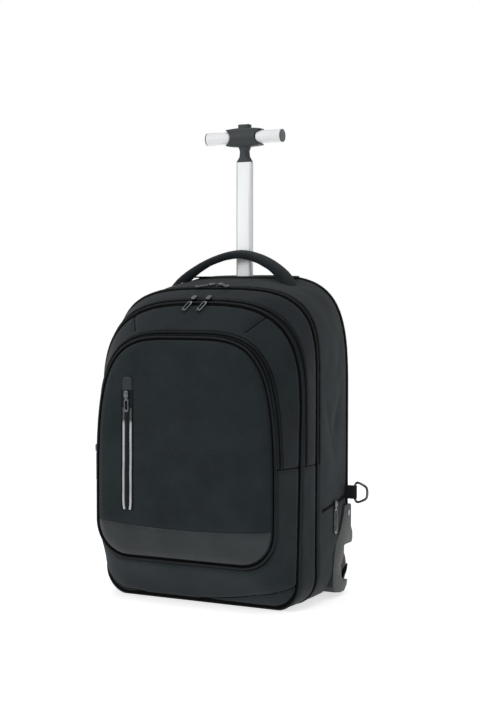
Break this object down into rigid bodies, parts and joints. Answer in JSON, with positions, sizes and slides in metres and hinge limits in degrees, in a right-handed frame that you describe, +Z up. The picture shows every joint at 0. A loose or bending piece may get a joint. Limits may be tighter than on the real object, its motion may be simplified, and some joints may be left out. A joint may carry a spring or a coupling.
{
  "type": "wheeled backpack",
  "caption": "Soft backpack with two rear corner wheels, a T-handle on one telescopic tube, a padded carry handle and a crowned front pocket.",
  "frame": {"origin": "middle of the footprint, on the floor", "axes": "+X to the right seen from the front, +Y to the back of the bag, +Z up"},
  "size_m": [0.416, 0.2546, 0.7305],
  "materials": {
    "fabric": "plain woven polyester",
    "piping": "coated cord edging",
    "leather_look": "soft satin coated",
    "back_mesh": "spacer mesh over foam",
    "webbing": "ribbed woven tape",
    "zip_tape": "fine woven tape",
    "reflective": "reflective film",
    "black_metal": "black plated, worn bright on the edges",
    "housing_plastic": "fine moulded texture",
    "tyre": "matt moulded",
    "wheel_plastic": "moulded",
    "steel": "turned",
    "aluminium": "satin anodised",
    "hub_plastic": "moulded, soft sheen",
    "grip_plastic": "smooth silver-white",
    "cap_plastic": "moulded"
  },
  "bodies": {
    "bag": {"main_gusset": "fabric", "middle_gusset": "fabric", "organizer_panel": "fabric", "front_pocket": "fabric", "pocket_band": "leather_look", "back_panel": "back_mesh", "main_piping": "piping", "organizer_piping": "piping", "pocket_piping": "piping", "back_piping": "piping", "carry_handle": "fabric", "front_zip": "zip_tape", "zip_stripe_left": "reflective", "zip_stripe_right": "reflective", "zip_garage": "leather_look", "front_slider": "black_metal", "front_pull": "black_metal", "organizer_slider_left": "black_metal", "organizer_pull_left": "black_metal", "organizer_slider_right": "black_metal", "organizer_pull_right": "black_metal", "main_slider_left": "black_metal", "main_pull_left": "black_metal", "main_slider_right": "black_metal", "main_pull_right": "black_metal", "edge_slider": "black_metal", "edge_pull": "black_metal", "side_zip": "zip_tape", "side_slider": "black_metal", "side_pull": "black_metal", "strap_tab_left": "webbing", "strap_tab_right": "webbing", "d_ring_left": "black_metal", "d_ring_right": "black_metal", "wheel_housing_left": "housing_plastic", "wheel_housing_right": "housing_plastic", "axle_left": "steel", "axle_right": "steel", "trolley_tray": "hub_plastic", "trolley_sleeve": "aluminium", "pocket_back": "fabric", "pocket_zip": "zip_tape", "organizer_zip": "zip_tape", "main_zip": "zip_tape"},
    "trolley": {"trolley_tube": "aluminium", "handle_hub": "hub_plastic", "grip_left": "grip_plastic", "grip_right": "grip_plastic", "end_cap_left": "cap_plastic", "end_cap_right": "cap_plastic"},
    "button": {"push_button": "hub_plastic"},
    "wheel_left": {"tyre_left": "tyre", "wheel_hub_left": "wheel_plastic"},
    "wheel_right": {"tyre_right": "tyre", "wheel_hub_right": "wheel_plastic"}
  },
  "joints": [
    {"name": "trolley_slide", "type": "slide", "parent": "bag", "child": "trolley", "axis": [0, 0, 1], "range_m": [-0.226, 0.18]},
    {"name": "button_press", "type": "slide", "parent": "trolley", "child": "button", "axis": [0, 0, -1], "range_m": [0, 0.003], "stiffness_N_per_m": 600},
    {"name": "wheel_spin_left", "type": "hinge", "parent": "bag", "child": "wheel_left", "pos_m": [-0.1507, 0.09228, 0.037], "axis": [1, 0, 0], "continuous": true},
    {"name": "wheel_spin_right", "type": "hinge", "parent": "bag", "child": "wheel_right", "pos_m": [0.1507, 0.09228, 0.037], "axis": [1, 0, 0], "continuous": true}
  ]
}
